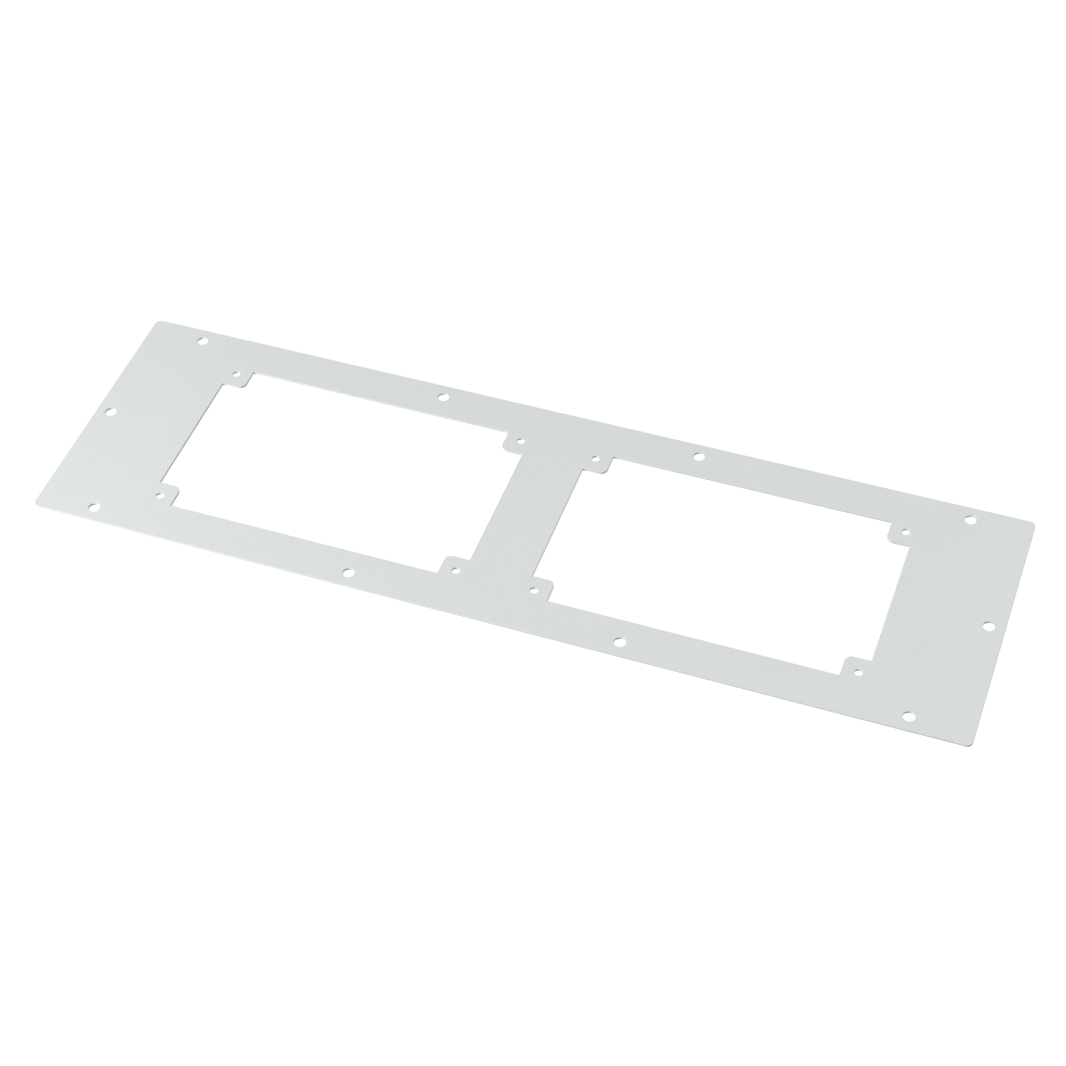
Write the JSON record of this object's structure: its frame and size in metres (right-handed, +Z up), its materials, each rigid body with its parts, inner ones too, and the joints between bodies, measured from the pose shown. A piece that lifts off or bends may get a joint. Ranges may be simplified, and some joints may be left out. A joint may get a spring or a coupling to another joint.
{
  "type": "enclosure floor plate",
  "caption": "Flat sheet-metal floor plate with fixing holes along its edges and two large tabbed windows for cable entry plates.",
  "frame": {"origin": "middle of the plate's underside, which rests on the floor", "axes": "+X along the plate's length, +Y across its width, +Z up through the sheet"},
  "size_m": [0.792, 0.236, 0.002],
  "materials": {
    "powder_coat": "fine satin powder coat, pale cool grey"
  },
  "bodies": {
    "root": {"floor_plate": "powder_coat"}
  },
  "joints": []
}
